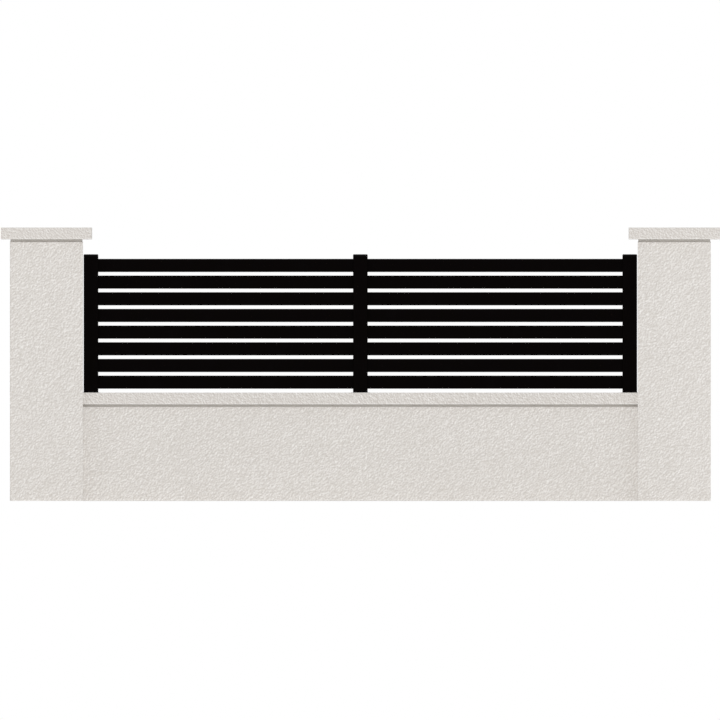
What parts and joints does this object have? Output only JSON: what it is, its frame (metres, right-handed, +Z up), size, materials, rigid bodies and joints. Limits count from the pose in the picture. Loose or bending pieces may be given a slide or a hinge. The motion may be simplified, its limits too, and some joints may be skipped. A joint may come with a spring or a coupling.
{
  "type": "slatted fence on a low wall",
  "caption": "Level-slat fence panels held in slotted posts, standing on a low rendered wall between two capped pillars.",
  "frame": {"origin": "middle of the footprint, at ground level", "axes": "+X along the fence to the right as seen from the front, -Y towards the front, +Z up"},
  "size_m": [3.926, 0.5, 1.493],
  "materials": {
    "wall_render": "pale roughcast render",
    "cast_stone": "pale textured cast stone",
    "bed_mortar": "grey-beige sanded mortar",
    "coated_metal": "black fine-textured powder coat",
    "black_plastic": "black moulded plastic"
  },
  "bodies": {
    "root": {"low_wall": "wall_render", "coping_bed": "bed_mortar", "wall_coping": "cast_stone", "left_pillar": "wall_render", "right_pillar": "wall_render", "left_cap_bed": "bed_mortar", "right_cap_bed": "bed_mortar", "left_pillar_cap": "cast_stone", "right_pillar_cap": "cast_stone", "left_post": "coated_metal", "middle_post": "coated_metal", "right_post": "coated_metal", "left_post_cap": "black_plastic", "middle_post_cap": "black_plastic", "right_post_cap": "black_plastic", "left_panel": "coated_metal", "right_panel": "coated_metal", "left_bay_left_spacers": "black_plastic", "left_bay_right_spacers": "black_plastic", "right_bay_left_spacers": "black_plastic", "right_bay_right_spacers": "black_plastic"}
  },
  "joints": []
}
